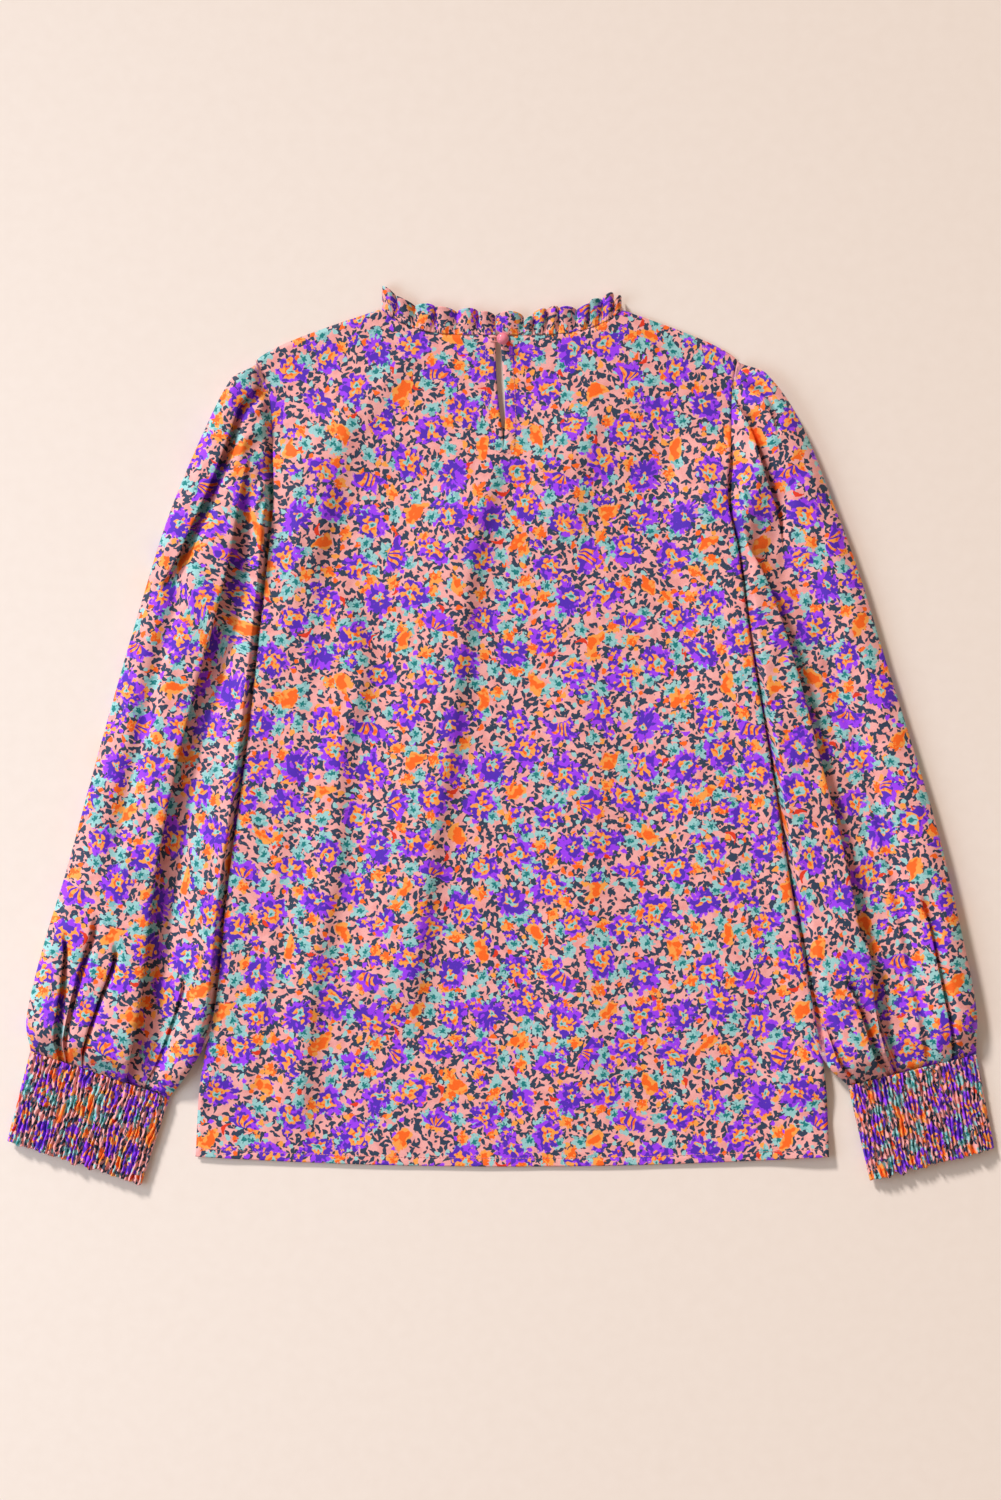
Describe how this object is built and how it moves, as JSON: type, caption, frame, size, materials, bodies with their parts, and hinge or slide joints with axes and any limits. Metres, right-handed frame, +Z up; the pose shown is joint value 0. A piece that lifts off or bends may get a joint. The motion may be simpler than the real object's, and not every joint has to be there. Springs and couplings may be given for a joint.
{
  "type": "blouse",
  "caption": "Long-sleeved ruffle-neck blouse laid flat with its back up, with a keyhole slit, ball button and smocked cuffs.",
  "frame": {"origin": "on the surface that the blouse lies on, below the middle of its outline", "axes": "+Z up from the surface, +Y from the hem to the neck, +X to the right as the back is seen"},
  "size_m": [0.7685, 0.701, 0.0141],
  "materials": {
    "printed_crepe": "matte",
    "smocked_crepe": "matte",
    "sewing_thread": "satin",
    "button": "gloss"
  },
  "bodies": {
    "root": {"body_back": "printed_crepe", "body_front": "printed_crepe", "sleeve_left": "printed_crepe", "sleeve_right": "printed_crepe", "cuff_left": "smocked_crepe", "cuff_right": "smocked_crepe", "ruffle_back_left": "printed_crepe", "ruffle_back_right": "printed_crepe", "ruffle_front": "printed_crepe", "button": "button", "button_loop": "sewing_thread"}
  },
  "joints": []
}
